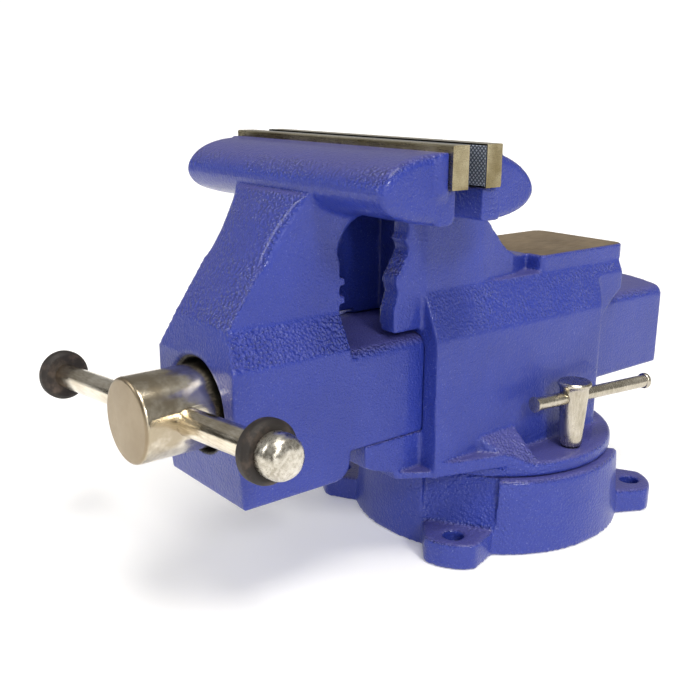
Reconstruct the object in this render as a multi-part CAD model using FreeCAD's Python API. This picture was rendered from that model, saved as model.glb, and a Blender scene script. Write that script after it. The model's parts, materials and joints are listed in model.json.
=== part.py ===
import FreeCAD, Part
import math
import os

os.makedirs("parts", exist_ok=True)

# Swivel-base bench vise. Millimetres. Z is up and the handle end points to -Y.
# The origin is on the swivel axis, at the underside of the base.

# ---- clearances -----------------------------------------------------------
casting_gap = 0.3          # between castings that move past each other
shaft_gap = 0.08           # radial, a shaft that turns or slides in its hole
bolt_gap = 0.5             # radial, a bolt shank in a plain hole

# ---- jaws -----------------------------------------------------------------
jaw_width = 165.0
plate_height = 18.7
plate_thick = 10.2
plate_top_z = 220.0
jaw_opening = 9.8          # as stored
rear_grip_y = -100.7       # gripping face of the fixed jaw
plate_stands_proud = 3.0   # above the top of the castings
head_half = 79.0
head_end_r = 4.0
head_foot_z = 186.0
pad_half = 80.8            # the front jaw's backing pad, which its plate bolts to
pad_thick = 6.3
ledge_front = 5.7          # how far each head reaches under its plate
ledge_rear = 7.3
jaw_screw_r = 3.0
jaw_screw_head_r = 5.0
jaw_screw_head = 5.0
jaw_screw_length = 20.0
jaw_screw_z = 207.8
jaw_screw_x = 52.0
hex_socket_af = 5.0

# ---- slide and screw ------------------------------------------------------
slide_half = 33.5
slide_bottom_z = 72.0
slide_top_z = 125.5
slide_crown = 2.5          # the slide's top is this much higher in the middle
slide_rear_y = 123.5
slide_edge_r = 7.0
slide_wall = 9.5
slide_roof = 10.0
screw_z = 100.4
thread_r = 11.0
journal_r = 12.0
screw_end_y = 112.0
screw_head_r = 20.0
screw_head_front_y = -235.0
screw_head_edge = 2.0
recess_r = 22.5
recess_floor_y = -186.0
recess_bevel = 2.5
thrust_wall = 16.0         # jaw metal that the screw pushes and pulls on
washer_thick = 3.0
collar_r = 15.0
collar_length = 9.5
collar_pin_r = 2.5

# ---- moving jaw -----------------------------------------------------------
drop_front_y = -200.0
drop_rear_y = -134.0
drop_bottom_z = 57.9
drop_front_lean = 4.5      # the front face comes back this much at its foot
drop_lean_top_z = 104.0
web_half = 24.0            # upright between the slide and the front jaw
web_bulge = 3.0            # crown of the sloping front face
web_shoulder_z = 140.0     # where the upright starts to spread to the slide
web_neck_z = 167.0         # where it starts to spread to the head
web_foot_z = 123.0
web_top_y = -157.6
web_top_z = 195.0
web_knee_y = -195.0
web_knee_z = 141.0
web_hollow_half = 13.0
tooth_depth = 3.2

# ---- vise body ------------------------------------------------------------
body_front_y = -87.5
body_half_foot = 45.8
body_half_waist = 44.0
body_rear_y = 50.0
rear_corner_r = 9.0
body_waist_z = 121.0
body_hip_half = 37.7
body_hip_z = 136.0
upright_half = 33.5        # under the fixed jaw
shoulder_z = 145.0
anvil_half = 33.8
anvil_front_y = 1.4
anvil_rear_y = 79.0
anvil_top_z = 154.2
anvil_neck_y = 74.5
anvil_corner_r = 7.0
floor_thick = 10.7
cheek_outer = 32.4         # pipe jaws, measured from the middle
cheek_inner = 21.0
cheek_back_y = -70.0
tongue_half = 33.2
tongue_front_y = -124.0

# ---- swivel ---------------------------------------------------------------
turret_r = 73.1
turret_top_z = 50.0
base_top_z = 42.0
base_top_r = 78.0
base_foot_r = 80.1
base_edge_r = 3.0
pivot_r = 7.0
pivot_head_af = 22.0
pivot_head = 9.0
pivot_nut_height = 11.0
hub_r = 16.5
base_hub_r = 27.0
turret_hollow_r = 40.0
lug_top_z = 14.0
base_hollow = 7.0          # depth of the hollow under the base
slot_floor_z = 23.0
slot_lip_z = 32.0
slot_half = 4.5
slot_head_half = 8.0
lock_x = 60.0
lock_y = 4.0
stud_r = 4.0
stud_head_half = 7.0
stud_head = 7.5
stud_top_z = 69.0

# ---- base lugs ------------------------------------------------------------
lug_spread = 51.5          # each lug's angle from the base's own cross axis
base_turn = -6.0           # how far the base is turned under the body
lug_hole_circle_r = 88.0
lug_hole_r = 5.5
lug_tip_r = 100.0
lug_root_half = 22.0
lug_tip_half = 14.0
lug_corner_r = 5.0
pocket_half = 20.5
pocket_top_r = 69.0
pocket_foot_r = 76.5

# ---- lock nuts and their bars --------------------------------------------
lock_nut_foot_r = 6.2
lock_nut_top_r = 9.4
lock_nut_height = 37.5
lock_bar_r = 3.6
lock_bar_z = 79.0
lock_bar_turn = 7.5
lock_bar_long = 58.0
lock_bar_short = 29.3
lock_bar_head_r = 4.6
lock_bar_head = 3.2

# ---- handle ---------------------------------------------------------------
bar_r = 6.5
bar_y = -214.0
bar_drop = 1.0             # the bar's hole is a little below the screw's axis
bar_tilt = 5.2
bar_right = 96.5           # from the screw's axis to the right-hand end
bar_left = 137.0
knob_r = 9.6
knob_length = 12.5
ring_r = 13.4
ring_length = 8.0

# ---- screw nut ------------------------------------------------------------
nut_half = 21.0
nut_front_y = -60.0
nut_rear_y = -16.0
nut_top_z = 114.0
nut_bolt_r = 6.0
nut_bolt_y = -28.3
nut_bolt_head_af = 18.0
nut_bolt_head = 8.0
nut_bolt_washer_r = 11.0
nut_bolt_washer = 2.5
nut_bolt_depth = 13.0

# ---- worked out from the above -------------------------------------------
front_grip_y = rear_grip_y - jaw_opening
front_seat_y = front_grip_y - plate_thick
rear_seat_y = rear_grip_y + plate_thick
plate_foot_z = plate_top_z - plate_height
pad_top_z = plate_top_z - plate_stands_proud
turret_foot_z = base_top_z + casting_gap
floor_top_z = slide_bottom_z - casting_gap
floor_foot_z = floor_top_z - floor_thick
lock_radius = math.hypot(lock_x, lock_y)
thrust_back_y = recess_floor_y + thrust_wall

X = FreeCAD.Vector(1, 0, 0)
Y = FreeCAD.Vector(0, 1, 0)
Z = FreeCAD.Vector(0, 0, 1)
ORIGIN = FreeCAD.Vector(0, 0, 0)


# ---- helpers --------------------------------------------------------------
def save(shape, name):
    shape.exportStep("parts/" + name + ".step")


def face(steps, place):
    """A closed outline: two numbers are a corner, four are an arc's middle and its end."""
    points = [place(*step[-2:]) for step in steps]
    edges = []
    for index, step in enumerate(steps):
        start, end = points[index - 1], points[index]
        if len(step) == 4:
            edges.append(Part.Arc(start, place(*step[:2]), end).toShape())
        elif start.distanceToPoint(end) > 1e-6:
            edges.append(Part.makeLine(start, end))
    return Part.Face(Part.Wire(edges))


def across(steps, x_low, x_high):
    """A side outline (y, z) carried across from x_low to x_high."""
    outline = face(steps, lambda y, z: FreeCAD.Vector(x_low, y, z))
    return outline.extrude(X * (x_high - x_low))


def along(steps, y_low, y_high):
    """An end outline (x, z) carried along from y_low to y_high."""
    outline = face(steps, lambda x, z: FreeCAD.Vector(x, y_low, z))
    return outline.extrude(Y * (y_high - y_low))


def upward(steps, z_low, z_high):
    """A plan outline (x, y) carried up from z_low to z_high."""
    outline = face(steps, lambda x, y: FreeCAD.Vector(x, y, z_low))
    return outline.extrude(Z * (z_high - z_low))


def mirrored(right_side):
    """An outline from its right-hand corners, given from bottom to top or front to back."""
    left_side = [(-step[0], step[1]) for step in reversed(right_side)]
    return list(right_side) + left_side


def turned(steps):
    """A solid of revolution about Z from a (radius, z) outline."""
    return face(steps, lambda r, z: FreeCAD.Vector(r, 0, z)).revolve(ORIGIN, Z, 360)


def block(x_low, x_high, y_low, y_high, z_low, z_high):
    corner = FreeCAD.Vector(x_low, y_low, z_low)
    return Part.makeBox(x_high - x_low, y_high - y_low, z_high - z_low, corner)


def rod(radius, start, direction, length):
    return Part.makeCylinder(radius, length, start, direction)


def ring(outer, inner, start, direction, length):
    outside = rod(outer, start, direction, length)
    return outside.cut(rod(inner, start, direction, length))


def hexagon(across_flats, centre, height):
    """A hexagonal prism standing on its centre point."""
    corner_r = across_flats / math.sqrt(3)
    angles = [math.radians(60 * turn) for turn in range(6)]
    corners = [(centre.x + corner_r * math.cos(a), centre.y + corner_r * math.sin(a)) for a in angles]
    return upward(corners, centre.z, centre.z + height)


def soften(solid, radius, wanted):
    """Round the edges that the test picks."""
    edges = [edge for edge in solid.Edges if wanted(edge)]
    return solid.makeFillet(radius, edges)


def spans(edge, axis, length):
    """Whether an edge runs along one axis for at least the length."""
    box = edge.BoundBox
    sizes = {"x": box.XLength, "y": box.YLength, "z": box.ZLength}
    others = [size for name, size in sizes.items() if name != axis]
    return sizes[axis] >= length and max(others) < 1e-3


def about_z(shape, degrees):
    copy = shape.copy()
    copy.rotate(ORIGIN, Z, degrees)
    return copy


def right_and_left(x_low, x_high, y_low, y_high, z_low, z_high):
    right = block(x_low, x_high, y_low, y_high, z_low, z_high)
    left = block(-x_high, -x_low, y_low, y_high, z_low, z_high)
    return [right, left]


# ---- base -----------------------------------------------------------------
def base_casting():
    bore = pivot_r + shaft_gap
    head_pocket = pivot_head_af / math.sqrt(3) + bolt_gap
    lip_in = lock_radius - slot_half
    lip_out = lock_radius + slot_half
    cavity_in = lock_radius - slot_head_half
    cavity_out = lock_radius + slot_head_half
    wall = 9.0
    edge_mid = base_edge_r * (1 - math.sqrt(0.5))
    body = turned([
        (bore, pivot_head + 1), (bore, base_top_z), (lip_in, base_top_z), (lip_in, slot_lip_z),
        (cavity_in, slot_lip_z), (cavity_in, slot_floor_z), (cavity_out, slot_floor_z),
        (cavity_out, slot_lip_z), (lip_out, slot_lip_z), (lip_out, base_top_z),
        (base_top_r - base_edge_r, base_top_z),
        (base_top_r - edge_mid, base_top_z - edge_mid, base_top_r, base_top_z - base_edge_r),
        (base_foot_r, 0), (base_foot_r - wall, 0), (base_foot_r - wall - 1.5, base_hollow),
        (base_hub_r + 1.5, base_hollow), (base_hub_r, 0), (head_pocket, 0),
        (head_pocket, pivot_head + 1),
    ])
    inner_r = base_foot_r - wall
    lug_steps = [
        (inner_r - 2, -lug_root_half), (lug_tip_r - 4, -lug_tip_half),
        (lug_tip_r, 0, lug_tip_r - 4, lug_tip_half), (inner_r - 2, lug_root_half),
    ]
    lug = upward(lug_steps, 0, lug_top_z)
    lug = soften(lug, lug_corner_r, lambda e: spans(e, "z", 5) and e.BoundBox.XMin > base_foot_r + 5)
    lug = soften(lug, 1.5, lambda e: e.BoundBox.ZMin > lug_top_z - 0.1 and e.BoundBox.XMax > base_foot_r + 5)
    hollow_clear = rod(inner_r - 1, ORIGIN, Z, lug_top_z)
    lug = lug.cut(hollow_clear)
    pocket_steps = [
        (pocket_top_r, base_top_z + 1), (pocket_foot_r, lug_top_z),
        (lug_tip_r, lug_top_z), (lug_tip_r, base_top_z + 1),
    ]
    pocket = face(pocket_steps, lambda r, z: FreeCAD.Vector(r, -pocket_half, z))
    pocket = pocket.extrude(Y * (2 * pocket_half))
    hole = rod(lug_hole_r, FreeCAD.Vector(lug_hole_circle_r, 0, -1), Z, lug_top_z + 2)
    angles = [lug_spread, 180 - lug_spread, 180 + lug_spread, -lug_spread]
    for angle in angles:
        body = body.cut(about_z(pocket, angle + base_turn))
    for angle in angles:
        body = body.fuse(about_z(lug, angle + base_turn))
    for angle in angles:
        body = body.cut(about_z(hole, angle + base_turn))
    entry_r = stud_head_half * math.sqrt(2) + bolt_gap
    entry = rod(entry_r, FreeCAD.Vector(0, lock_radius, slot_floor_z), Z, base_top_z)
    return body.cut(entry).removeSplitter()


def pivot_bolt():
    head = hexagon(pivot_head_af, FreeCAD.Vector(0, 0, 1), pivot_head)
    length = floor_top_z + casting_gap + washer_thick + pivot_nut_height + 1.5
    return head.fuse(rod(pivot_r, FreeCAD.Vector(0, 0, 1), Z, length - 1)).removeSplitter()


def pivot_washer():
    seat = FreeCAD.Vector(0, 0, floor_top_z + casting_gap)
    return ring(pivot_r * 2.1, pivot_r + 0.2, seat, Z, washer_thick)


def pivot_nut():
    seat = FreeCAD.Vector(0, 0, floor_top_z + casting_gap + washer_thick)
    nut = hexagon(pivot_head_af, seat, pivot_nut_height)
    return nut.cut(rod(pivot_r, seat, Z, pivot_nut_height))


# ---- heads shared by both castings ----------------------------------------
def head(outline, seat_y, away, pad_reach):
    """A jaw head: its lens section, its backing pad and its rounded ends."""
    points = [FreeCAD.Vector(-head_half, seat_y + away * depth, z) for depth, z in outline]
    curve = Part.BSplineCurve()
    curve.interpolate(points)
    close = Part.makeLine(points[-1], points[0])
    lens = Part.Face(Part.Wire([curve.toShape(), close])).extrude(X * (2 * head_half))
    ends = [e for e in lens.Edges if e.BoundBox.XLength < 1e-3 and e.BoundBox.YLength > 10]
    lens = lens.makeFillet(head_end_r, ends)
    pad_far_y = seat_y + away * pad_thick
    pad = block(-pad_reach, pad_reach, min(seat_y, pad_far_y), max(seat_y, pad_far_y),
                plate_foot_z - 3, pad_top_z)
    pad = soften(pad, 1.5, lambda e: abs(e.CenterOfMass.y - pad_far_y) < 1e-3
                 or (spans(e, "y", 1) and e.CenterOfMass.z < plate_foot_z))
    return lens.fuse(pad)


def ledge(seat_y, away, reach):
    """What carries the plate's foot, in front of its seat."""
    inner_y = seat_y - away * reach
    low, high = min(seat_y + away * 4, inner_y), max(seat_y + away * 4, inner_y)
    shelf = block(-head_half, head_half, low, high, head_foot_z, plate_foot_z)
    return soften(shelf, 2.5, lambda e: e.BoundBox.ZMax < head_foot_z + 0.1
                  and abs(e.CenterOfMass.y - inner_y) < 1e-3)


def jaw_screw_holes(seat_y, away):
    """Threaded holes behind a plate."""
    depth = jaw_screw_length - plate_thick
    starts = [FreeCAD.Vector(x, seat_y - away, jaw_screw_z) for x in (-jaw_screw_x, jaw_screw_x)]
    return [rod(jaw_screw_r, start, Y * away, depth + 2) for start in starts]


# ---- moving jaw -----------------------------------------------------------
def slide_section(half, low, high, edge_r, crown):
    """The slide's outline: square below, rounded and slightly crowned above."""
    mid = edge_r * (1 - math.sqrt(0.5))
    shoulder = high - crown
    return [
        (-half, low), (half, low), (half, shoulder - edge_r),
        (half - mid, shoulder - mid, half - edge_r, shoulder), (0, high, -half + edge_r, shoulder),
        (-half + mid, shoulder - mid, -half, shoulder - edge_r),
    ]


def web_front(z):
    """Where the upright's front corner lies at a height."""
    lean = (web_knee_y - web_top_y) / (web_top_z - web_knee_z)
    return web_top_y + (web_top_z - z) * lean


def moving_upright():
    """The sloping web that carries the front jaw: it spreads to the slide and to the head."""
    stations = [
        (web_foot_z - 8, slide_half, drop_front_y, 0.1),
        (web_foot_z, slide_half, drop_front_y, 0.1),
        (web_shoulder_z, web_half, web_front(web_shoulder_z), 0.6),
        (web_neck_z, web_half, web_front(web_neck_z), 0.6 * web_bulge),
        (web_neck_z + 10, web_half + 0.6, web_front(web_neck_z + 10), 0.8 * web_bulge),
        (web_neck_z + 17, web_half + 2.4, web_front(web_neck_z + 17), web_bulge),
        (web_top_z + 2, web_half + 6, web_front(web_top_z + 2), web_bulge),
    ]
    back_y = -105
    wires = []
    for z, half, front_y, crown in stations:
        corners = [FreeCAD.Vector(half, front_y, z), FreeCAD.Vector(half, back_y, z),
                   FreeCAD.Vector(-half, back_y, z), FreeCAD.Vector(-half, front_y, z)]
        middle = FreeCAD.Vector(0, front_y - crown, z)
        edges = [Part.makeLine(corners[i], corners[i + 1]) for i in range(3)]
        edges.append(Part.Arc(corners[3], middle, corners[0]).toShape())
        wires.append(Part.Wire(edges))
    web = Part.makeLoft(wires, True, True)
    side = [
        (drop_rear_y, web_foot_z - 9), (drop_rear_y, 164), (-131.5, 175, -124, 184),
        (-121, web_top_z + 3), (-230, web_top_z + 3), (-230, web_foot_z - 9),
    ]
    return web.common(across(side, -60, 60))


def moving_jaw():
    drop_side = [
        (drop_rear_y, drop_bottom_z + 9), (drop_rear_y, web_foot_z),
        (drop_front_y, web_foot_z), (drop_front_y, drop_lean_top_z),
        (drop_front_y + drop_front_lean, drop_bottom_z), (drop_rear_y - 9, drop_bottom_z),
        (drop_rear_y - 2.6, drop_bottom_z + 2.6, drop_rear_y, drop_bottom_z + 9),
    ]
    drop = across(drop_side, -slide_half, slide_half)
    bar = along(slide_section(slide_half, slide_bottom_z, slide_top_z, slide_edge_r, slide_crown),
                drop_rear_y - 10, slide_rear_y)
    casting = drop.fuse(bar)
    casting = casting.fuse(moving_upright())
    outline = [(0, 217.0), (12.3, 216.2), (25.0, 213.0), (33.0, 207.2), (35.6, 201.0),
               (32.6, 194.8), (23.0, 190.0), (12.0, 187.3), (0, head_foot_z)]
    casting = casting.fuse(head(outline, front_seat_y, -1, pad_half))
    casting = casting.fuse(ledge(front_seat_y, -1, ledge_front))
    for screw_hole in jaw_screw_holes(front_seat_y, -1):
        casting = casting.cut(screw_hole)
    # the slide is a channel, open below, and the drop is hollow behind its thick front wall
    inner = slide_half - slide_wall
    roof = slide_top_z - slide_roof
    channel = along(slide_section(inner, slide_bottom_z - 1, roof, 4.0, 1.0), drop_rear_y, slide_rear_y + 1)
    chamber = along(slide_section(inner, drop_bottom_z + 9, roof, 4.0, 1.0), thrust_back_y, drop_rear_y + 1)
    casting = casting.cut(channel).cut(chamber)
    # the upright is open at the back, between the front pipe jaws
    hollow = [(drop_rear_y + 5, slide_top_z + 4), (drop_rear_y + 5, 176), (-144, 178),
              (-178, 136), (-178, slide_top_z + 4)]
    casting = casting.cut(across(hollow, -web_hollow_half, web_hollow_half))
    # pipe teeth
    for low in (143.6, 152.2):
        for tooth in right_and_left(web_hollow_half, web_half, drop_rear_y - 1,
                                    drop_rear_y + tooth_depth, low, low + 4.3):
            casting = casting.fuse(tooth)
    # the screw's recess and bore
    axis = FreeCAD.Vector(0, drop_front_y - 2, screw_z)
    casting = casting.cut(rod(recess_r, axis, Y, recess_floor_y - drop_front_y + 2))
    bevel = Part.makeCone(recess_r + recess_bevel + 2, recess_r, recess_bevel + 2, axis, Y)
    casting = casting.cut(bevel)
    casting = casting.cut(rod(journal_r + shaft_gap, axis, Y, thrust_back_y - drop_front_y + 5))
    return casting.removeSplitter()


# ---- vise body ------------------------------------------------------------
def turret_plan():
    """The flange seen from above: a disc with an apron out to the tongue."""
    disc = rod(turret_r, FreeCAD.Vector(0, 0, turret_foot_z), Z, turret_top_z - turret_foot_z)
    disc = soften(disc, 2.5, lambda e: abs(e.BoundBox.ZMin - turret_top_z) < 1e-3)
    reach = math.radians(-37)
    apron_steps = mirrored([(tongue_half, -104), (45.5, -86),
                            (turret_r * math.cos(reach), turret_r * math.sin(reach))])
    apron = upward(apron_steps, 48.5, 52.5)
    return disc, apron


def gussets(apron):
    """Sloping webs between the body's sides and the flange."""
    round_part = rod(turret_r, FreeCAD.Vector(0, 0, turret_foot_z), Z, 40)
    tall_apron = apron.copy()
    tall_apron.translate(Z * 4)
    plan = round_part.fuse(apron).fuse(tall_apron)
    wedges = []
    for side in (-1, 1):
        steps = [(side * 40, turret_top_z - 1), (side * 40, 69), (side * 45, 65.5),
                 (side * 65, turret_top_z - 1)]
        wedge = along(steps, -86, -28)
        wedges.append(wedge.common(plan))
    return wedges


def cheek(low_x, high_x):
    """One pipe jaw on the fixed side."""
    foot_z = slide_top_z + casting_gap + 0.3
    steps = [
        (body_front_y + 1, foot_z), (-106, foot_z), (-106.2, 138.6), (-105.1, 141.6),
        (-103.6, 147.0), (-105.3, 151.6), (-104.9, 155.0), (-102.2, 158.1),
        (-99.2, 163.6), (-97.6, 167.2, -100.0, 171.8), (-98, 175), (-98, 190),
        (body_front_y + 1, 190),
    ]
    return across(steps, low_x, high_x)


def body_upright():
    """Between the anvil and the fixed jaw, with its back sloping down to the anvil."""
    slope = [
        (body_front_y, shoulder_z - 8), (body_front_y, 181), (-90, 186, -96, 188),
        (-96, plate_foot_z - 1.5), (rear_seat_y + 1, plate_foot_z - 1), (-80, 206), (-68, 197),
        (-58, 188), (-50, 184), (-40, 174.5), (-26, 161.5),
        (-15, 156.2, anvil_front_y + 2, anvil_top_z), (anvil_front_y + 2, shoulder_z - 8),
    ]
    plan = mirrored([(upright_half, body_front_y - 12), (upright_half, -46),
                     (29.5, -18), (20.5, 4)])
    upright = across(slope, -60, 60).common(upward(plan, 120, 215))
    return upright


def anvil():
    """The rear corners are rounded, and the block overhangs its neck."""
    pad = block(-anvil_half, anvil_half, anvil_front_y, anvil_rear_y, shoulder_z - 1, anvil_top_z)
    pad = soften(pad, anvil_corner_r, lambda e: spans(e, "z", 5) and e.CenterOfMass.y > 50)
    pad = soften(pad, 3.0, lambda e: spans(e, "z", 5) and e.CenterOfMass.y < 10)
    return soften(pad, 1.6, lambda e: abs(e.CenterOfMass.z - (shoulder_z - 1)) < 0.01
                  and e.BoundBox.ZLength < 0.01)


def rear_plan():
    """A plan that rounds the body's rear corners, and narrows it to the anvil's neck."""
    corner = body_half_foot
    neck = corner - rear_corner_r
    mid = rear_corner_r * math.sqrt(0.5)
    return [
        (-corner, -130), (corner, -130), (corner, body_rear_y - rear_corner_r),
        (neck + mid, body_rear_y - rear_corner_r + mid, neck, body_rear_y),
        (neck, anvil_rear_y + 5), (-neck, anvil_rear_y + 5), (-neck, body_rear_y),
        (-neck - mid, body_rear_y - rear_corner_r + mid, -corner, body_rear_y - rear_corner_r),
    ]


def vise_body():
    side = [
        (body_front_y, turret_top_z - 1), (body_front_y, shoulder_z), (anvil_neck_y, shoulder_z),
        (anvil_neck_y, slide_top_z + 2), (body_rear_y + 5, 108, body_rear_y, 96),
        (body_rear_y, turret_top_z - 1),
    ]
    section = mirrored([
        (body_half_foot, turret_top_z - 1), (body_half_waist, body_waist_z),
        (body_hip_half, body_hip_z), (upright_half, shoulder_z),
    ])
    casting = across(side, -60, 60).common(along(section, -120, 100))
    casting = casting.common(upward(rear_plan(), 0, 200))
    disc, apron = turret_plan()
    tongue_steps = [
        (tongue_front_y, floor_top_z), (tongue_front_y, 60), (-118, 57), (-95, 49.2), (-60, 48.5),
        (-60, floor_top_z),
    ]
    tongue = across(tongue_steps, -tongue_half, tongue_half)
    for piece in [disc, apron, tongue] + gussets(apron) + [body_upright(), anvil()]:
        casting = casting.fuse(piece)
    outline = [(0, 216.2), (6.5, 214.8), (14.3, 212.0), (21.5, 207.8), (26.4, 202.8), (28.2, 197.8),
               (24.8, 192.2), (19.0, 189.1), (10.0, 186.9), (0, head_foot_z)]
    casting = casting.fuse(head(outline, rear_seat_y, 1, head_half - 1))
    casting = casting.fuse(ledge(rear_seat_y, 1, ledge_rear))
    for screw_hole in jaw_screw_holes(rear_seat_y, 1):
        casting = casting.cut(screw_hole)
    # room between the pipe jaws
    casting = casting.cut(block(-cheek_inner, cheek_inner, body_front_y - 1, cheek_back_y, 120, 183))
    casting = casting.fuse(cheek(cheek_inner, cheek_outer)).fuse(cheek(-cheek_outer, -cheek_inner))
    # the slide's way through
    way = slide_section(slide_half + casting_gap, floor_top_z, slide_top_z + casting_gap,
                        slide_edge_r + casting_gap, slide_crown)
    casting = casting.cut(along(way, tongue_front_y - 1, anvil_rear_y + 1))
    # the flange is hollow below, round its hub
    hollow = ring(turret_hollow_r, hub_r, FreeCAD.Vector(0, 0, turret_foot_z), Z,
                  floor_foot_z - turret_foot_z)
    casting = casting.cut(hollow)
    casting = casting.cut(rod(pivot_r + shaft_gap, ORIGIN, Z, floor_top_z + 1))
    bolt_start = FreeCAD.Vector(0, nut_bolt_y, floor_foot_z - 1)
    casting = casting.cut(rod(nut_bolt_r + bolt_gap, bolt_start, Z, floor_thick + 2))
    for x, y in ((lock_x, lock_y), (-lock_x, -lock_y)):
        casting = casting.cut(rod(stud_r + 0.1, FreeCAD.Vector(x, y, turret_foot_z - 1), Z, 12))
    return casting.removeSplitter()


# ---- jaw plates and their screws ------------------------------------------
def jaw_plate(seat_y, away):
    low, high = sorted((seat_y, seat_y - away * plate_thick))
    plate = block(-jaw_width / 2, jaw_width / 2, low, high, plate_foot_z, plate_top_z)
    plate = plate.makeChamfer(0.5, [e for e in plate.Edges if e.Length > jaw_width - 1])
    grip_y = seat_y - away * plate_thick
    for x in (-jaw_screw_x, jaw_screw_x):
        start = FreeCAD.Vector(x, grip_y - away, jaw_screw_z)
        plate = plate.cut(rod(jaw_screw_r + 0.3, start, Y * away, plate_thick + 2))
        plate = plate.cut(rod(jaw_screw_head_r + 0.3, start, Y * away, jaw_screw_head + 2))
    return plate


def jaw_screws(seat_y, away):
    """Two socket-head screws, heads sunk below the gripping face."""
    screws = []
    head_y = seat_y - away * (plate_thick - 1)
    for x in (-jaw_screw_x, jaw_screw_x):
        start = FreeCAD.Vector(x, head_y, jaw_screw_z)
        screw = rod(jaw_screw_head_r, start, Y * away, jaw_screw_head)
        screw = screw.fuse(rod(jaw_screw_r, start, Y * away, jaw_screw_length - 1))
        socket = hexagon(hex_socket_af, ORIGIN, 3.5)
        socket.rotate(ORIGIN, X, -90 * away)
        socket.translate(start)
        screws.append(screw.cut(socket).removeSplitter())
    return Part.makeCompound(screws)


# ---- screw ----------------------------------------------------------------
def bar_direction():
    tilt = math.radians(bar_tilt)
    return FreeCAD.Vector(math.cos(tilt), 0, math.sin(tilt))


def bar_point(distance):
    """A point on the handle bar's axis, measured to the right of the screw's axis."""
    return FreeCAD.Vector(0, bar_y, screw_z - bar_drop) + bar_direction() * distance


def lead_screw():
    head_back_y = recess_floor_y - washer_thick - casting_gap
    start = FreeCAD.Vector(0, screw_head_front_y, screw_z)
    screw = rod(screw_head_r, start, Y, head_back_y - screw_head_front_y)
    screw = soften(screw, screw_head_edge, lambda e: e.BoundBox.YMax < screw_head_front_y + 0.1)
    journal_start = FreeCAD.Vector(0, head_back_y, screw_z)
    screw = screw.fuse(rod(journal_r, journal_start, Y, thrust_back_y - head_back_y))
    thread = rod(thread_r, journal_start, Y, screw_end_y - head_back_y)
    thread = thread.makeChamfer(2.0, [e for e in thread.Edges if e.BoundBox.YMin > screw_end_y - 0.1])
    screw = screw.fuse(thread)
    reach = screw_head_r + 2
    screw = screw.cut(rod(bar_r + shaft_gap, bar_point(-reach), bar_direction(), 2 * reach))
    return screw.cut(collar_pin()).removeSplitter()


def collar_start():
    return FreeCAD.Vector(0, thrust_back_y + casting_gap, screw_z)


def collar_pin():
    start = collar_start() + Y * (collar_length / 2) - Z * (collar_r - 0.5)
    return rod(collar_pin_r, start, Z, 2 * collar_r - 1)


def retaining_collar():
    collar = ring(collar_r, thread_r, collar_start(), Y, collar_length)
    return collar.cut(collar_pin())


def thrust_washer():
    start = FreeCAD.Vector(0, recess_floor_y - washer_thick, screw_z)
    return ring(screw_head_r, journal_r + 0.2, start, Y, washer_thick)


def spindle_nut():
    nut = block(-nut_half, nut_half, nut_front_y, nut_rear_y, floor_top_z, nut_top_z)
    nut = soften(nut, 6.0, lambda e: spans(e, "y", 5) and e.CenterOfMass.z > nut_top_z - 1)
    start = FreeCAD.Vector(0, nut_front_y - 1, screw_z)
    nut = nut.cut(rod(thread_r + shaft_gap, start, Y, nut_rear_y - nut_front_y + 2))
    hole = FreeCAD.Vector(0, nut_bolt_y, floor_top_z - 1)
    return nut.cut(rod(nut_bolt_r, hole, Z, nut_bolt_depth + 2))


def spindle_nut_bolt():
    shoulder_z = floor_foot_z - nut_bolt_washer
    head_start = FreeCAD.Vector(0, nut_bolt_y, shoulder_z - nut_bolt_head)
    length = nut_bolt_head + nut_bolt_washer + floor_thick + nut_bolt_depth
    shank = rod(nut_bolt_r, head_start, Z, length)
    return hexagon(nut_bolt_head_af, head_start, nut_bolt_head).fuse(shank).removeSplitter()


def spindle_nut_washer():
    start = FreeCAD.Vector(0, nut_bolt_y, floor_foot_z - nut_bolt_washer)
    return ring(nut_bolt_washer_r, nut_bolt_r + 0.3, start, Z, nut_bolt_washer)


# ---- handle ---------------------------------------------------------------
def handle_bar():
    return rod(bar_r, bar_point(-bar_left + 3), bar_direction(), bar_left + bar_right - 6)


def handle_knob(side):
    """A domed cap on one end of the bar. The side is 1 for right and -1 for left."""
    end = bar_right if side > 0 else bar_left
    way = bar_direction() * side
    start = bar_point(side * (end - knob_length))
    knob = rod(knob_r, start, way, knob_length)
    centre = start + way * knob_length
    outer = [e for e in knob.Edges if e.CenterOfMass.distanceToPoint(centre) < 1e-3]
    knob = knob.makeFillet(5.0, outer)
    inner = [e for e in knob.Edges if e.CenterOfMass.distanceToPoint(start) < 1e-3]
    knob = knob.makeFillet(1.0, inner)
    return knob.cut(rod(bar_r, start, way, knob_length - 3))


def rubber_ring(side):
    end = bar_right if side > 0 else bar_left
    way = bar_direction() * side
    start = bar_point(side * (end - knob_length - ring_length))
    body = ring(ring_r, bar_r, start, way, ring_length)
    outer = [e for e in body.Edges if e.Length > 2 * math.pi * ring_r - 1]
    return body.makeChamfer(1.6, outer)


# ---- locks ----------------------------------------------------------------
def place_lock(shape, side):
    """The left lock is the right one turned half round the swivel axis."""
    return shape if side > 0 else about_z(shape, 180)


def lock_stud(side):
    centre = FreeCAD.Vector(lock_x, lock_y, 0)
    head_low = slot_lip_z - 0.5 - stud_head
    t_head = block(-stud_head_half, stud_head_half, -stud_head_half, stud_head_half,
                   head_low, head_low + stud_head)
    t_head.rotate(ORIGIN, Z, math.degrees(math.atan2(lock_y, lock_x)))
    t_head.translate(centre)
    shank = rod(stud_r, centre + Z * head_low, Z, stud_top_z - head_low)
    return place_lock(t_head.fuse(shank).removeSplitter(), side)


def lock_bar_direction():
    turn = math.radians(lock_bar_turn)
    return FreeCAD.Vector(math.sin(turn), math.cos(turn), 0)


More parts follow.
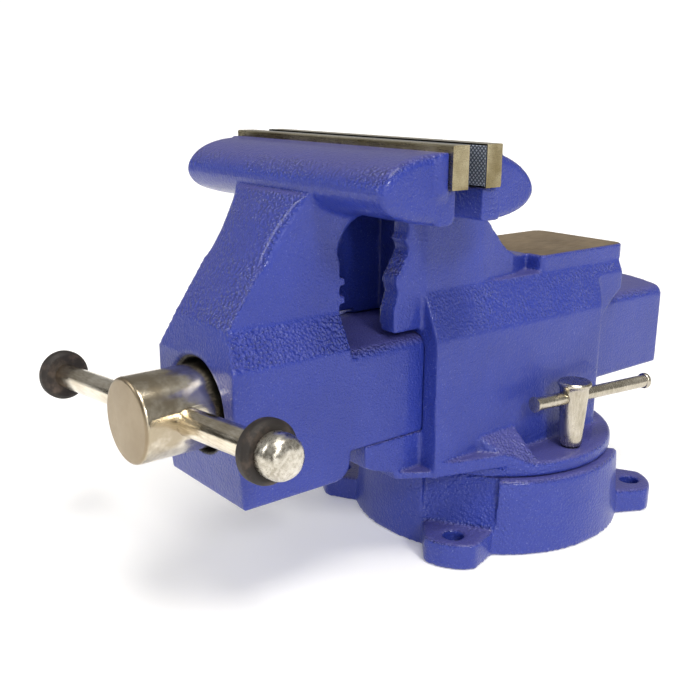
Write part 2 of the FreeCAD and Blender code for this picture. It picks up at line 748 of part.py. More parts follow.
def lock_bar_point(distance):
    return FreeCAD.Vector(lock_x, lock_y, lock_bar_z) + lock_bar_direction() * distance


def lock_nut(side):
    """A tall tapered nut, blind-threaded from below and drilled across for its bar."""
    foot = turret_top_z + casting_gap
    top = foot + lock_nut_height
    bore = stud_r + shaft_gap
    body = turned([
        (bore, foot), (lock_nut_foot_r - 1, foot), (lock_nut_foot_r, foot + 1.5),
        (lock_nut_top_r - 1.4, top - 6), (lock_nut_top_r - 0.9, top - 3.2, lock_nut_top_r, top - 1.8),
        (lock_nut_top_r, top - 0.8), (lock_nut_top_r - 0.8, top), (0, top), (0, stud_top_z + 1),
        (bore, stud_top_z + 1),
    ])
    body.translate(FreeCAD.Vector(lock_x, lock_y, 0))
    cross = rod(lock_bar_r + shaft_gap, lock_bar_point(-20), lock_bar_direction(), 40)
    return place_lock(body.cut(cross), side)


def lock_bar(side):
    """A plain bar with an upset head at its long end and a staked short end."""
    way = lock_bar_direction()
    shank = rod(lock_bar_r, lock_bar_point(-lock_bar_short), way, lock_bar_short + lock_bar_long - 1)
    head = rod(lock_bar_head_r, lock_bar_point(lock_bar_long - lock_bar_head), way, lock_bar_head)
    head = head.makeFillet(1.2, head.Edges[:1] + head.Edges[2:])
    flare = Part.makeCone(lock_bar_r + 0.8, lock_bar_r, 3.0, lock_bar_point(-lock_bar_short), way)
    return place_lock(shank.fuse(head).fuse(flare).removeSplitter(), side)


# ---- write the parts ------------------------------------------------------
save(base_casting(), "base_casting")
save(pivot_bolt(), "pivot_bolt")
save(pivot_washer(), "pivot_washer")
save(pivot_nut(), "pivot_nut")
save(vise_body(), "vise_body")
save(moving_jaw(), "moving_jaw")
save(jaw_plate(front_seat_y, -1), "front_jaw_plate")
save(jaw_plate(rear_seat_y, 1), "rear_jaw_plate")
save(jaw_screws(front_seat_y, -1), "front_jaw_screws")
save(jaw_screws(rear_seat_y, 1), "rear_jaw_screws")
save(lead_screw(), "lead_screw")
save(thrust_washer(), "thrust_washer")
save(retaining_collar(), "retaining_collar")
save(collar_pin(), "collar_pin")
save(spindle_nut(), "spindle_nut")
save(spindle_nut_bolt(), "spindle_nut_bolt")
save(spindle_nut_washer(), "spindle_nut_washer")
save(handle_bar(), "handle_bar")
for side, name in ((1, "right"), (-1, "left")):
    save(handle_knob(side), "handle_knob_" + name)
    save(rubber_ring(side), "rubber_ring_" + name)
    save(lock_stud(side), "lock_stud_" + name)
    save(lock_nut(side), "lock_nut_" + name)
    save(lock_bar(side), "lock_bar_" + name)
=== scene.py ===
import json
import math

import bmesh
import bpy
from mathutils import Matrix, Vector


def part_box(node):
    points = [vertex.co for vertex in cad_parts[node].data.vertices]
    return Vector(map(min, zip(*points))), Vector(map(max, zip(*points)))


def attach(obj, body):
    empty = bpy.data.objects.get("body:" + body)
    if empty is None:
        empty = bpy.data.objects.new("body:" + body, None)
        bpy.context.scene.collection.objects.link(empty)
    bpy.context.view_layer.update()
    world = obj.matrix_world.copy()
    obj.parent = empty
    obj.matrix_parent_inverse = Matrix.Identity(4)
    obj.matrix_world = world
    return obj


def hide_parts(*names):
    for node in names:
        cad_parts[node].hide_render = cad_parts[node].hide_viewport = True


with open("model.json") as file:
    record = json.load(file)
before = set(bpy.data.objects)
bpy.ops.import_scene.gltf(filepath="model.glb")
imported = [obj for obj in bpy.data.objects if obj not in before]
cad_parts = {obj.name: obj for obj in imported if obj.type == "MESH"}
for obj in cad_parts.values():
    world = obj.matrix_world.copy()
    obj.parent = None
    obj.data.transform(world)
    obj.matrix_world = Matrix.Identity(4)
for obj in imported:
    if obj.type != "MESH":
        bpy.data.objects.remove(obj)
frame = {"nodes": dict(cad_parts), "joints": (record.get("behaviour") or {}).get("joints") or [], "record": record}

# Bench vise on a swivel base. Metres. Z is up and the handle end points to -Y.
MM = 0.001
AXIS_X, AXIS_Y = Vector((1, 0, 0)), Vector((0, 1, 0))

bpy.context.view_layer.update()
nodes = frame["nodes"]
joints = {joint["name"]: joint for joint in frame["joints"]}


def middle(node):
    low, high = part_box(node)
    return (Vector(low) + Vector(high)) / 2


def edge_of(node, side, axis):
    """Where a node starts (side 0) or ends (side 1) along an axis."""
    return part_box(node)[side][axis]


screw_axis = Vector((0, 0, middle("lead_screw").z))
screw_front = edge_of("lead_screw", 0, 1)
screw_end = edge_of("lead_screw", 1, 1)
drop_front = edge_of("moving_jaw", 0, 1)
anvil_top = 154.2 * MM
anvil_front = 0.5 * MM
recess_edge_r = 23.4 * MM
recess_back = -0.160
chip_place = (33.4 * MM, -124.0 * MM, 58.5 * MM)
chip_r = 2.5 * MM
jaw_screw_head_r = 5 * MM
tooth_depth = 0.5 * MM
tooth_cell = 1.5 * MM
knob_r = 9.6 * MM
ring_r = 13.4 * MM
bar_r = 6.5 * MM
most_faces = 190000
collar_end = edge_of("retaining_collar", 1, 1)
jaw_middle = (edge_of("front_jaw_plate", 1, 1) + edge_of("rear_jaw_plate", 0, 1)) / 2
jaw_half_gap = (edge_of("rear_jaw_plate", 0, 1) - edge_of("front_jaw_plate", 1, 1)) / 2
handle_way = Vector(joints["handle_slide"]["axis"]).normalized()


# ---- finishes -------------------------------------------------------------
class Value:
    """A shader value that takes part in arithmetic."""

    def __init__(self, finish, socket):
        self.finish = finish
        self.socket = socket

    def work(self, operation, *values):
        settings = {"operation": operation}
        inputs = dict(enumerate(values))
        return self.finish.node("ShaderNodeMath", settings, inputs)

    def __add__(self, other):
        return self.work("ADD", self, other)

    def __radd__(self, other):
        return self.work("ADD", other, self)

    def __sub__(self, other):
        return self.work("SUBTRACT", self, other)

    def __rsub__(self, other):
        return self.work("SUBTRACT", other, self)

    def __mul__(self, other):
        return self.work("MULTIPLY", self, other)

    def __pow__(self, other):
        return self.work("POWER", self, other)


class Finish:
    """A material and its nodes, ending in one Principled shader."""

    def __init__(self, name, **fixed):
        self.material = bpy.data.materials.new(name)
        self.material.use_nodes = True
        self.tree = self.material.node_tree
        self.tree.nodes.clear()
        self.shader = self.tree.nodes.new("ShaderNodeBsdfPrincipled")
        output = self.tree.nodes.new("ShaderNodeOutputMaterial")
        self.tree.links.new(self.shader.outputs[0], output.inputs[0])
        self.put(self.shader, {key.replace("_", " "): value for key, value in fixed.items()})
        self.coords = self.node("ShaderNodeTexCoord", out="Object")

    def put(self, node, inputs):
        for key, value in inputs.items():
            if isinstance(value, Value):
                self.tree.links.new(value.socket, node.inputs[key])
            else:
                node.inputs[key].default_value = value

    def node(self, kind, settings=None, inputs=None, out=0):
        node = self.tree.nodes.new(kind)
        for key, value in (settings or {}).items():
            setattr(node, key, value)
        self.put(node, inputs or {})
        return Value(self, node.outputs[out])

    def noise(self, scale, detail=3.0, roughness=0.5, coords=None):
        inputs = {"Vector": coords or self.coords, "Scale": scale, "Detail": detail, "Roughness": roughness}
        return self.node("ShaderNodeTexNoise", None, inputs)

    def stretched(self, scale):
        """The object's coordinates, squeezed along one way for brushed streaks."""
        return self.node("ShaderNodeMapping", None, {"Vector": self.coords, "Scale": scale})

    def place(self):
        split = self.tree.nodes.new("ShaderNodeSeparateXYZ")
        self.put(split, {0: self.coords})
        return [Value(self, output) for output in split.outputs]

    def facing(self):
        """The surface's own direction, as three values."""
        split = self.tree.nodes.new("ShaderNodeSeparateXYZ")
        self.put(split, {0: self.node("ShaderNodeTexCoord", out="Normal")})
        return [Value(self, output) for output in split.outputs]

    def rise(self, value, low, high):
        """0 below the low value and 1 above the high one, smooth between."""
        inputs = {"Value": value, "From Min": low, "From Max": high}
        return self.node("ShaderNodeMapRange", {"interpolation_type": "SMOOTHSTEP"}, inputs)

    def most(self, first, second):
        return self.node("ShaderNodeMath", {"operation": "MAXIMUM"}, {0: first, 1: second})

    def blend(self, mask, first, second):
        inputs = {0: mask, 6: first, 7: second}
        return self.node("ShaderNodeMix", {"data_type": "RGBA"}, inputs, out=2)

    def end(self, height=None, distance=0.0003, strength=1.0, **varying):
        if height is not None:
            bump = {"Height": height, "Distance": distance, "Strength": strength}
            varying["Normal"] = self.node("ShaderNodeBump", None, bump)
        self.put(self.shader, {key.replace("_", " "): value for key, value in varying.items()})
        return self.material


def rgb(red, green, blue):
    return (red, green, blue, 1.0)


def enamel_finish():
    """Glossy blue enamel over rough sand-cast iron, with bare metal where it was machined."""
    finish = Finish("casting_enamel", Coat_Roughness=0.06, Coat_IOR=1.5, Specular_IOR_Level=0.42)
    x, y, z = finish.place()
    _, face_y, face_z = finish.facing()
    peel = finish.noise(720, 2.0, 0.5)
    sand = finish.noise(1250, 2.0, 0.5)
    blobs = finish.node("ShaderNodeTexVoronoi", {"feature": "SMOOTH_F1"},
                        {"Vector": finish.coords, "Scale": 640.0, "Smoothness": 0.6})
    waves = finish.noise(75, 2.0, 0.5)
    patches = finish.noise(26, 2.0, 0.5)
    # the paint is thickest and roughest on the sloping bands, the front of the upright and the foot
    upright_front = finish.rise(0 - face_y, 0.5, 0.75) * finish.rise(face_z, 0.2, 0.4)
    slopes = finish.rise(face_z, 0.25, 0.5) * (1 - finish.rise(face_z, 0.8, 0.93))
    low_band = (1 - finish.rise(z, 0.052, 0.07)) * 0.22
    coarse = finish.most(finish.most(upright_front * 0.6, slopes), low_band)
    ragged = finish.rise(patches, 0.38, 0.62)
    # machined anvil top
    on_anvil = finish.rise(z, anvil_top - 0.7 * MM, anvil_top - 0.35 * MM)
    on_anvil = on_anvil * finish.rise(y, anvil_front, anvil_front + 0.8 * MM)
    on_anvil = on_anvil * finish.rise(face_z, 0.93, 0.985)
    on_anvil = on_anvil * (1 - finish.rise(z, anvil_top + 0.8 * MM, anvil_top + 1.6 * MM))
    # the screw's recess is painted near-black, with patchy bare grey metal at its front lip
    off_axis = z - screw_axis.z
    from_axis = (x * x + off_axis * off_axis) ** 0.5
    in_recess = (1 - finish.rise(from_axis, recess_edge_r, recess_edge_r + MM)) * (
        1 - finish.rise(y, recess_back, recess_back + 5 * MM))
    lip = in_recess * (1 - finish.rise(y, drop_front + 2.0 * MM, drop_front + 3.4 * MM))
    lip = lip * finish.rise(peel, 0.4, 0.55)
    # a chip in the paint at the front corner of the body's tongue
    chip_x, chip_y, chip_z = x - chip_place[0], y - chip_place[1], z - chip_place[2]
    from_chip = (chip_x * chip_x + chip_y * chip_y + chip_z * chip_z) ** 0.5 + peel * 1.4 * MM
    chip = 1 - finish.rise(from_chip, chip_r, chip_r + 0.3 * MM)
    # colour
    edges = finish.node("ShaderNodeNewGeometry", out="Pointiness")
    worn_and_lit_edges = finish.rise(edges, 0.52, 0.60)
    painted_hollow_shade = 1 - finish.rise(edges, 0.40, 0.49)
    blue = finish.blend(patches, rgb(0.015, 0.029, 0.240), rgb(0.024, 0.044, 0.325))
    # painted reflection: what faces up is blended toward a pale grey-mauve sheen that stands in for the overhead
    # light
    blue = finish.blend(finish.rise(face_z, 0.35, 0.95) * 0.42, blue, rgb(0.135, 0.115, 0.225))
    # painted highlights: the tops of the coarse grain cells are lightened as if they catch the light
    painted_grain_glints = 1 - finish.rise(blobs, 0.10, 0.26)
    blue = finish.blend(coarse * painted_grain_glints * (0.25 + ragged * 0.35), blue, rgb(0.26, 0.30, 0.62))
    # painted sparkle: fine light specks in the colour stand in for glints off the bumpy gloss
    painted_sparkle = finish.rise(sand, 0.66, 0.72) * (0.25 + ragged * 0.35)
    blue = finish.blend(painted_sparkle, blue, rgb(0.22, 0.26, 0.60))
    # edges are lightened: partly thin, worn paint and partly a painted highlight where they catch the light
    blue = finish.blend(worn_and_lit_edges * 0.22, blue, rgb(0.12, 0.14, 0.50))
    # painted shade: concave places are darkened toward a near-black blue
    blue = finish.blend(painted_hollow_shade * 0.6, blue, rgb(0.014, 0.014, 0.11))
    streaks = finish.noise(90, 4.0, 0.6, finish.stretched((14, 1, 1)))
    ground = finish.rise(streaks * 0.6 + patches * 0.4, 0.3, 0.7)
    tan = finish.blend(ground, rgb(0.24, 0.17, 0.10), rgb(0.52, 0.40, 0.26))
    recess_colour = finish.blend(lip, rgb(0.006, 0.006, 0.008), rgb(0.20, 0.19, 0.18))
    colour = finish.blend(in_recess, finish.blend(on_anvil, blue, tan), recess_colour)
    colour = finish.blend(chip, colour, rgb(0.46, 0.40, 0.30))
    bare = finish.most(on_anvil, lip)
    shine = 0.26 + waves * 0.14
    roughness = shine + on_anvil * 0.12 + in_recess * 0.25
    # the anvil keeps its grinding marks and the rest its cast skin
    skin = peel * 0.5 + sand * 0.3 + waves * 0.7 + coarse * (1 - blobs * 2.0) * (0.3 + ragged * 0.55)
    height = skin * (1 - on_anvil) + streaks * on_anvil * 0.12
    return finish.end(height, 0.0012, 1.0, Base_Color=colour, Metallic=bare * 0.9, Roughness=roughness,
                      Coat_Weight=(1 - finish.most(on_anvil, in_recess)) * 0.25)


def steel_finish(name, dark, light, streak_scale, roughness, spread=0.12):
    """Bright steel with faint streaks along its working."""
    finish = Finish(name, Metallic=1.0)
    streaks = finish.noise(160, 4.0, 0.6, finish.stretched(streak_scale))
    stains = finish.noise(45, 3.0, 0.6)
    pits = finish.noise(2600, 2.0, 0.5)
    tone = streaks * 0.45 + stains * 0.55
    colour = finish.blend(finish.rise(tone, 0.3, 0.7), dark, light)
    rough = roughness + streaks * spread + finish.rise(stains, 0.5, 0.75) * 0.08
    height = streaks * 0.6 + pits * 0.4
    return finish.end(height, 0.00006, 0.6, Base_Color=colour, Roughness=rough)


def turned_finish(name, dark, light, centre, roughness):
    """Steel with fine lathe rings round the screw's axis."""
    finish = Finish(name, Metallic=1.0)
    x, y, z = finish.place()
    across = z - centre.z
    radius = (x * x + across * across) ** 0.5
    rings = finish.node("ShaderNodeMath", {"operation": "SINE"}, {0: radius * 9000 + finish.noise(60) * 3})
    stains = finish.noise(55, 4.0, 0.6)
    scuffs = finish.noise(400, 3.0, 0.6)
    front = 1 - finish.rise(y, screw_front + 0.4 * MM, screw_front + 1.6 * MM)
    warm = finish.blend(stains, rgb(0.23, 0.175, 0.11), rgb(0.42, 0.345, 0.24))
    cool = finish.blend(finish.rise(stains, 0.35, 0.65), dark, light)
    colour = finish.blend(front, cool, warm)
    rough = roughness + scuffs * 0.14 + front * 0.14
    return finish.end(rings * 0.25 + scuffs * 0.6, 0.00007, 0.7, Base_Color=colour, Roughness=rough)


def rubber_finish():
    finish = Finish("rubber", Specular_IOR_Level=0.35)
    grain = finish.noise(1300, 3.0, 0.6)
    dust = finish.noise(120, 4.0, 0.65)
    colour = finish.blend(finish.rise(dust, 0.45, 0.75), rgb(0.020, 0.016, 0.014), rgb(0.085, 0.062, 0.048))
    return finish.end(grain, 0.00012, 0.7, Base_Color=colour, Roughness=0.48 + dust * 0.25)


def iron_finish():
    finish = Finish("bare_iron", Metallic=0.8)
    grain = finish.noise(900, 4.0, 0.6)
    stains = finish.noise(60, 3.0, 0.5)
    colour = finish.blend(stains, rgb(0.09, 0.085, 0.08), rgb(0.20, 0.19, 0.18))
    return finish.end(grain, 0.0002, 0.7, Base_Color=colour, Roughness=0.45 + grain * 0.2)


def black_finish():
    finish = Finish("black_fastener", Metallic=0.85)
    scuffs = finish.noise(700, 3.0, 0.6)
    colour = finish.blend(finish.rise(scuffs, 0.5, 0.8), rgb(0.018, 0.018, 0.02), rgb(0.07, 0.068, 0.065))
    return finish.end(scuffs, 0.00008, 0.5, Base_Color=colour, Roughness=0.32 + scuffs * 0.2)


def jaw_finish():
    """Ground steel plates: brassy outside with a painted reflection on their tops, and silver-blue on the cut
    teeth between the jaws with painted shade in their valleys.
    """
    finish = Finish("jaw_steel")
    _, y, _ = finish.place()
    from_middle = finish.node("ShaderNodeMath", {"operation": "ABSOLUTE"}, {0: y - jaw_middle})
    ground = finish.rise(from_middle, jaw_half_gap + 0.55 * MM, jaw_half_gap + 0.62 * MM)
    painted_valley_shade = finish.rise(from_middle, jaw_half_gap + 0.05 * MM, jaw_half_gap + 0.45 * MM)
    streaks = finish.noise(120, 4.0, 0.6, finish.stretched((0.6, 10, 10)))
    stains = finish.noise(38, 3.0, 0.6)
    brass = finish.blend(finish.rise(stains, 0.35, 0.65), rgb(0.24, 0.195, 0.10), rgb(0.50, 0.44, 0.29))
    _, _, face_z = finish.facing()
    # painted reflection: up-facing tops are blended toward pale cream, standing in for the sky's reflection
    brass = finish.blend(finish.rise(face_z, 0.6, 0.9) * 0.7, brass, rgb(0.84, 0.79, 0.62))
    # painted shade: the teeth are light at their tips and darkened down toward their valleys
    teeth = finish.blend(painted_valley_shade, rgb(0.78, 0.84, 0.92), rgb(0.10, 0.12, 0.17))
    colour = finish.blend(ground, teeth, brass)
    rough = 0.2 + streaks * 0.16 + (1 - ground) * 0.08
    return finish.end(streaks, 0.00008, 0.6, Base_Color=colour, Roughness=rough, Metallic=0.6 + ground * 0.4)


finishes = {
    "casting_enamel": enamel_finish(),
    "jaw_steel": jaw_finish(),
    "black_fastener": black_finish(),
    "polished_steel": steel_finish("polished_steel", rgb(0.52, 0.44, 0.31), rgb(0.92, 0.86, 0.73),
                                   (1, 9, 9), 0.11),
    "plated_steel": steel_finish("plated_steel", rgb(0.36, 0.32, 0.24), rgb(0.68, 0.63, 0.53),
                                 (6, 6, 1), 0.20),
    "turned_steel": turned_finish("turned_steel", rgb(0.46, 0.39, 0.28), rgb(0.90, 0.84, 0.70),
                                  screw_axis, 0.15),
    "bare_iron": iron_finish(),
    "knob_end": steel_finish("knob_end", rgb(0.30, 0.265, 0.20), rgb(0.88, 0.84, 0.75),
                             (4, 4, 4), 0.12, 0.30),
    "rubber": rubber_finish(),
}


# ---- making pieces --------------------------------------------------------
def solid_copy(node):
    """A node's own surface, merged into one closed mesh."""
    shape = bmesh.new()
    shape.from_mesh(nodes[node].data)
    bmesh.ops.remove_doubles(shape, verts=shape.verts, dist=1e-6)
    return shape


def make_piece(name, shape, sharp_angle=32):
    """An object from a finished shape, smooth except over its sharp edges."""
    mesh = bpy.data.meshes.new(name)
    shape.to_mesh(mesh)
    shape.free()
    mesh.shade_smooth()
    mesh.set_sharp_from_angle(angle=math.radians(sharp_angle))
    piece = bpy.data.objects.new(name, mesh)
    bpy.context.scene.collection.objects.link(piece)
    return piece


def cut_off(shape, point, way):
    """Take away what lies past a plane and close the cut with a face."""
    everything = shape.verts[:] + shape.edges[:] + shape.faces[:]
    cut = bmesh.ops.bisect_plane(shape, geom=everything, plane_co=point, plane_no=way, clear_outer=True)
    rim = [part for part in cut["geom_cut"] if isinstance(part, bmesh.types.BMEdge)]
    bmesh.ops.triangle_fill(shape, use_beauty=True, edges=rim, normal=way)


def fit(piece, body, slot, *replaced, finish=None):
    piece.data.materials.clear()
    piece.data.materials.append(finish or finishes[slot])
    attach(piece, body)
    if replaced:
        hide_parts(*replaced)


def settle(piece):
    """Take the modifiers' result as the piece's own mesh."""
    graph = bpy.context.evaluated_depsgraph_get()
    graph.update()
    mesh = bpy.data.meshes.new_from_object(piece.evaluated_get(graph), depsgraph=graph)
    piece.modifiers.clear()
    piece.data = mesh


def break_edges(piece, width, segments, bend, sharp_angle):
    """Bevel a piece's edges where they bend by more than an angle."""
    edge = piece.modifiers.new("edge", "BEVEL")
    edge.width = width
    edge.segments = segments
    edge.limit_method = "ANGLE"
    edge.angle_limit = math.radians(bend)
    settle(piece)
    piece.data.shade_smooth()
    piece.data.set_sharp_from_angle(angle=math.radians(sharp_angle))
    return piece


def spun(name, outline, centre, way, steps=72, sharp_angle=32):
    """A turned piece from (distance along, radius) pairs round an axis."""
    shape = bmesh.new()
    side = way.orthogonal().normalized()
    points = [shape.verts.new(centre + way * along + side * radius) for along, radius in outline]
    edges = [shape.edges.new(pair) for pair in zip(points, points[1:])]
    bmesh.ops.spin(shape, geom=points + edges, cent=centre, axis=way, dvec=(0, 0, 0),
                   angle=math.tau, steps=steps, use_merge=True, use_duplicate=False)
    bmesh.ops.remove_doubles(shape, verts=shape.verts, dist=1e-6)
    bmesh.ops.recalc_face_normals(shape, faces=shape.faces)
    return make_piece(name, shape, sharp_angle)


def rounded(corners, radius, steps=4):
    """An outline whose inner corners are rounded off by a radius."""
    points = [corners[0]]
    for before, corner, after in zip(corners, corners[1:], corners[2:]):
        here = Vector(corner)
        back, ahead = Vector(before) - here, Vector(after) - here
        reach = min(radius, back.length / 2, ahead.length / 2)
        start, stop = here + back.normalized() * reach, here + ahead.normalized() * reach
        for step in range(steps + 1):
            part = step / steps
            points.append(tuple(start * (1 - part) ** 2 + here * 2 * part * (1 - part) + stop * part ** 2))
    return points + [corners[-1]]


def weigh(piece, name, test):
    """A vertex group from a test that gives each point's weight."""
    group = piece.vertex_groups.new(name=name)
    for point in piece.data.vertices:
        weight = test(point.co)
        if weight > 0:
            group.add([point.index], weight, "REPLACE")
    return name


def relax(piece, name, rounds, test=None, factor=0.5):
    smooth = piece.modifiers.new(name, "SMOOTH")
    smooth.factor = factor
    smooth.iterations = rounds
    if test:
        smooth.vertex_group = weigh(piece, name, test)


def casting(node, grid, rounds, fillets=()):
    """A sand casting: the solid rebuilt on a fine grid and relaxed, so that its edges are worn round."""
    piece = make_piece(node + "_casting", solid_copy(node))
    remesh = piece.modifiers.new("grid", "REMESH")
    remesh.mode = "VOXEL"
    remesh.voxel_size = grid
    settle(piece)
    relax(piece, "edges", rounds)
    for number, (count, test) in enumerate(fillets):
        relax(piece, "fillet_%d" % number, count, test)
    settle(piece)
    faces = sum(len(face.vertices) - 2 for face in piece.data.polygons)
    if faces > most_faces:
        thin = piece.modifiers.new("thin", "DECIMATE")
        thin.ratio = most_faces / faces
        settle(piece)
    piece.vertex_groups.clear()
    piece.data.shade_smooth()
    return piece


def inside(point, low, high, edge):
    """1 well inside a box, falling to 0 over the edge distance."""
    depth = min(min(point[i] - low[i], high[i] - point[i]) for i in range(3))
    return max(0.0, min(1.0, depth / edge))


def box_test(low, high, edge):
    """A test for a box given in millimetres, for both sides of the vise."""
    low, high = [n * MM for n in low], [n * MM for n in high]

    def test(point):
        return inside((abs(point.x), point.y, point.z), low, high, edge * MM)
    return test


# ---- castings -------------------------------------------------------------
under_head = box_test((14, -190, 164), (60, -112, 196), 5)
fit(casting("moving_jaw", 1.0 * MM, 3, [(90, under_head)]), "moving_jaw", "casting_enamel", "moving_jaw")
fit(casting("vise_body", 1.05 * MM, 3), "turret", "casting_enamel", "vise_body")
fit(casting("base_casting", 1.1 * MM, 4), "base", "casting_enamel", "base_casting")


# ---- jaw plates -----------------------------------------------------------
def lattice(width, height, cell):
    """A sheet of small squares set cornerwise, in the x-y plane."""
    sheet = bmesh.new()
    count = int((width + height) / cell / math.sqrt(2)) + 2
    turn = Matrix.Rotation(math.radians(45), 4, "Z")
    bmesh.ops.create_grid(sheet, x_segments=count, y_segments=count, size=count * cell / 2, matrix=turn)
    across, upward = AXIS_X * width / 2, AXIS_Y * height / 2
    for edge in (across, -across, upward, -upward):
        everything = sheet.verts[:] + sheet.edges[:] + sheet.faces[:]
        bmesh.ops.bisect_plane(sheet, geom=everything, plane_co=edge, plane_no=edge.normalized(),
                               clear_outer=True)
    return sheet


def jaw_plate(name, node, screws, body, grip):
    """A hardened plate whose gripping face is cut into diamonds, behind the plane of the solid's face."""
    low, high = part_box(node)
    grip_y = high[1] if grip > 0 else low[1]
    shape = solid_copy(node)
    seat = Vector((0, grip_y - grip * tooth_depth, 0))
    cut_off(shape, seat, AXIS_Y * grip)
    screw_low, screw_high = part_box(screws)
    hole_x = screw_high[0] - jaw_screw_head_r
    hole_z = (screw_low[2] + screw_high[2]) / 2
    width, height = high[0] - low[0] - 0.8 * MM, high[2] - low[2] - 1.4 * MM
    teeth = lattice(width, height, tooth_cell)
    upright = Matrix.Rotation(-grip * math.pi / 2, 4, "X")
    stand = Matrix.Translation((0, seat.y, (low[2] + high[2]) / 2)) @ upright
    bmesh.ops.transform(teeth, matrix=stand, verts=teeth.verts)
    for side in (-1, 1):
        hole = Vector((side * hole_x, seat.y, hole_z))
        over = [face for face in teeth.faces
                if (face.calc_center_median() - hole).length < jaw_screw_head_r + MM]
        bmesh.ops.delete(teeth, geom=over, context="FACES")
    bmesh.ops.poke(teeth, faces=teeth.faces, offset=tooth_depth)
    loose = bpy.data.meshes.new(name + "_teeth")
    teeth.to_mesh(loose)
    teeth.free()
    shape.from_mesh(loose)
    bpy.data.meshes.remove(loose)
    fit(make_piece(name, shape, 20), body, "jaw_steel", node)


jaw_plate("front_plate", "front_jaw_plate", "front_jaw_screws", "moving_jaw", 1)
jaw_plate("rear_plate", "rear_jaw_plate", "rear_jaw_screws", "turret", -1)


# ---- lead screw -----------------------------------------------------------
def screw_head():
    """The head, its cross hole and the journal, up to the retaining collar."""
    shape = solid_copy("lead_screw")
    cut_off(shape, Vector((0, collar_end, 0)), AXIS_Y)
    return break_edges(make_piece("screw_head", shape), 0.5 * MM, 3, 40, 40)


def screw_thread(pitch=6 * MM, crest=11 * MM, root=8.0 * MM, steps=24):
    """The thread, spun up from the outline of one turn."""
    outline = [(0.0, root), (0.28, root), (0.40, crest), (0.88, crest), (1.0, root)]
    turns = int((screw_end - collar_end) / pitch)
    shape = bmesh.new()
    points = [shape.verts.new(screw_axis + AXIS_Y * (collar_end + along * pitch) + AXIS_X * radius)
              for along, radius in outline]
    edges = [shape.edges.new(pair) for pair in zip(points, points[1:])]
    turn_up = AXIS_Y * (pitch / steps)
    bmesh.ops.spin(shape, geom=points + edges, cent=screw_axis, axis=AXIS_Y, dvec=turn_up,
                   angle=-math.tau * (turns - 1), steps=steps * (turns - 1),
                   use_merge=False, use_duplicate=False)
    bmesh.ops.remove_doubles(shape, verts=shape.verts, dist=1e-6)
    bmesh.ops.holes_fill(shape, edges=[edge for edge in shape.edges if edge.is_boundary], sides=0)
    bmesh.ops.recalc_face_normals(shape, faces=shape.faces)
    return make_piece("screw_thread", shape, 25)


fit(screw_head(), "screw", "polished_steel", "lead_screw", finish=finishes["turned_steel"])
fit(screw_thread(), "screw", "polished_steel", finish=finishes["turned_steel"])


# ---- handle ---------------------------------------------------------------
def handle_pieces():
    right, left = middle("handle_knob_right"), middle("handle_knob_left")
    ring_right, ring_left = middle("rubber_ring_right"), middle("rubber_ring_left")
    knob_half = 6.25 * MM
    ring_half = 4 * MM
    crown = 2.0 * MM
    for name, centre, way in (("right", right, handle_way), ("left", left, -handle_way)):
        knob = rounded([(-knob_half, 0), (-knob_half, knob_r - MM), (-knob_half + 1.2 * MM, knob_r),
                        (1.0 * MM, knob_r), (4.6 * MM, 7.6 * MM), (5.9 * MM, 4.4 * MM),
                        (5.9 * MM, 0)], 1.5 * MM)
        fit(spun("knob_" + name, knob, centre, way), "handle", "polished_steel", "handle_knob_" + name,
            finish=finishes["knob_end"])
    for name, centre, way in (("right", ring_right, handle_way), ("left", ring_left, -handle_way)):
        band = rounded([(-ring_half, bar_r), (-ring_half, ring_r - crown), (-ring_half + crown, ring_r),
                        (ring_half - crown, ring_r), (ring_half, ring_r - crown), (ring_half, bar_r),
                        (-ring_half, bar_r)], 0.7 * MM)
        fit(spun("ring_" + name, band, centre, way), "handle", "rubber", "rubber_ring_" + name)
    half = (right - left).length / 2 - 1 * MM
    bar = rounded([(-half, 0), (-half, bar_r), (half, bar_r), (half, 0)], 0.8 * MM)
    fit(spun("bar", bar, (right + left) / 2, handle_way), "handle", "polished_steel", "handle_bar")


handle_pieces()


# ---- locks ----------------------------------------------------------------
def softened(name, node, width):
    """A copy of a solid with its sharp edges broken."""
    return break_edges(make_piece(name, solid_copy(node)), width, 2, 35, 38)


for side in ("right", "left"):
    fit(softened("nut_" + side, "lock_nut_" + side, 0.35 * MM), side + "_lock_nut", "plated_steel",
        "lock_nut_" + side)
    fit(softened("lock_handle_" + side, "lock_bar_" + side, 0.3 * MM), side + "_lock_bar", "plated_steel",
        "lock_bar_" + side)


# ---- the solids that show as they are -------------------------------------
slot_of = {part["node"]: part["material_slot"] for part in frame["record"]["subparts"]}
for node, body in nodes.items():
    if not body.material_slots:
        body.data.materials.append(finishes[slot_of[node]])
    for slot in body.material_slots:
        slot.material = finishes[slot_of[node]]


# ---- stage, light and camera ----------------------------------------------
def plain_material(name, colour, glow=0.0):
    finish = Finish(name, Base_Color=colour, Roughness=0.9, Specular_IOR_Level=0.0)
    finish.put(finish.shader, {"Emission Color": colour, "Emission Strength": glow})
    return finish.material


def stage_sheet(name, size_x, size_y, matrix, material):
    shape = bmesh.new()
    bmesh.ops.create_grid(shape, x_segments=1, y_segments=1, size=0.5,
                          matrix=matrix @ Matrix.Diagonal((size_x, size_y, 1, 1)))
    sheet = make_piece(name, shape)
    sheet.data.materials.append(material)
    return sheet


def look_at(place, target):
    """A matrix at a place, whose -Z points to the target."""
    return Matrix.Translation(place) @ (target - place).to_track_quat("-Z", "Y").to_matrix().to_4x4()


floor_white = plain_material("floor_white", rgb(0.92, 0.92, 0.92), 0.18)
stage_sheet("floor", 200, 200, Matrix.Translation((0, 0, -0.5 * MM)), floor_white)

target = Vector((0, -0.05, 0.11))


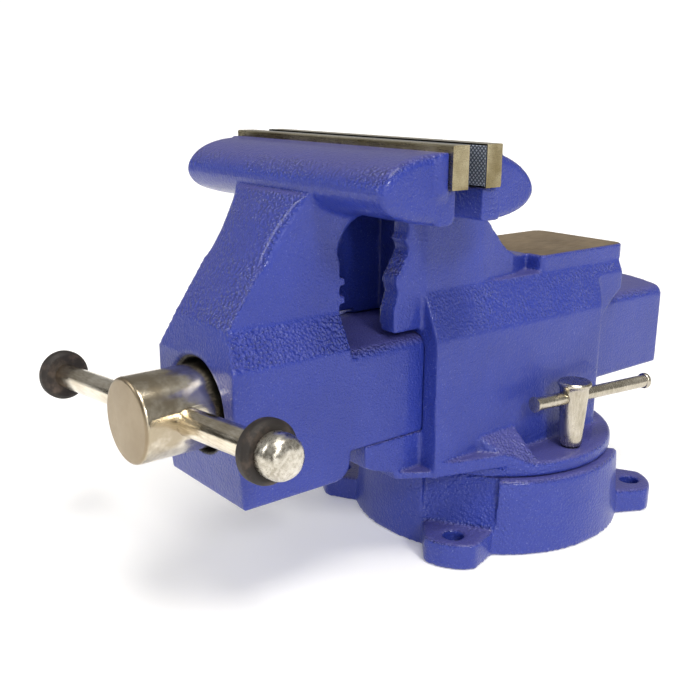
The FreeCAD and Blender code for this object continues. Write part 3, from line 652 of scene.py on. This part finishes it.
def add_light(name, kind, place, power, **settings):
    light = bpy.data.lights.new(name, kind)
    light.energy = power
    for key, value in settings.items():
        setattr(light, key, value)
    lamp = bpy.data.objects.new(name, light)
    lamp.matrix_world = look_at(Vector(place), target)
    bpy.context.scene.collection.objects.link(lamp)


add_light("key", "SUN", (1.3, -0.35, 1.0), 1.25, angle=math.radians(11), color=(1.0, 0.99, 0.96))
add_light("overhead", "SUN", (0.4, -0.15, 1.5), 2.1, angle=math.radians(30), color=(1.0, 0.97, 0.92))
add_light("fill", "SUN", (1.0, -0.84, 0.34), 0.55, angle=math.radians(30))
add_light("window", "AREA", (-0.9, -1.3, 0.9), 5, shape="RECTANGLE", size=0.25, size_y=0.8)


def flag(name, place, size, colour):
    """A dark card that only shows in the bright metal."""
    card = stage_sheet(name, size[0], size[1], look_at(Vector(place), target), plain_material(name, colour))
    card.visible_camera = False
    card.visible_diffuse = False
    card.visible_shadow = False


flag("brown_card", (0.9, -1.2, 0.25), (0.8, 0.5), rgb(0.05, 0.035, 0.02))
flag("dark_card", (-1.0, -0.9, 0.3), (0.7, 0.6), rgb(0.02, 0.02, 0.02))

world = bpy.data.worlds.new("studio")
world.use_nodes = True
sky = world.node_tree.nodes["Background"]
sky.inputs["Color"].default_value = rgb(1.0, 0.98, 0.95)
sky.inputs["Strength"].default_value = 0.28
backdrop = world.node_tree.nodes.new("ShaderNodeBackground")
backdrop.inputs["Color"].default_value = rgb(1.0, 1.0, 1.0)
backdrop.inputs["Strength"].default_value = 1.1
seen = world.node_tree.nodes.new("ShaderNodeLightPath")
chosen = world.node_tree.nodes.new("ShaderNodeMixShader")
world.node_tree.links.new(seen.outputs["Is Camera Ray"], chosen.inputs[0])
world.node_tree.links.new(sky.outputs[0], chosen.inputs[1])
world.node_tree.links.new(backdrop.outputs[0], chosen.inputs[2])
world.node_tree.links.new(chosen.outputs[0], world.node_tree.nodes["World Output"].inputs[0])
bpy.context.scene.world = world
bpy.context.scene.view_settings.view_transform = "Standard"


def place_camera():
    azimuth, elevation, roll = math.radians(50.72), math.radians(15.80), math.radians(0.51)
    back = Vector((math.sin(azimuth) * math.cos(elevation), -math.cos(azimuth) * math.cos(elevation),
                   math.sin(elevation)))
    right = Vector((math.cos(azimuth), math.sin(azimuth), 0))
    up = back.cross(right)
    right, up = right * math.cos(roll) + up * math.sin(roll), up * math.cos(roll) - right * math.sin(roll)
    lens = bpy.data.cameras.new("camera")
    lens.lens = 47.68
    lens.sensor_width = 36
    lens.clip_start = 0.01
    lens.clip_end = 100
    camera = bpy.data.objects.new("camera", lens)
    camera.matrix_world = (Matrix.Translation((0.3594, -0.4017, 0.2427))
                           @ Matrix((right, up, back)).transposed().to_4x4())
    bpy.context.scene.collection.objects.link(camera)
    bpy.context.scene.camera = camera


place_camera()
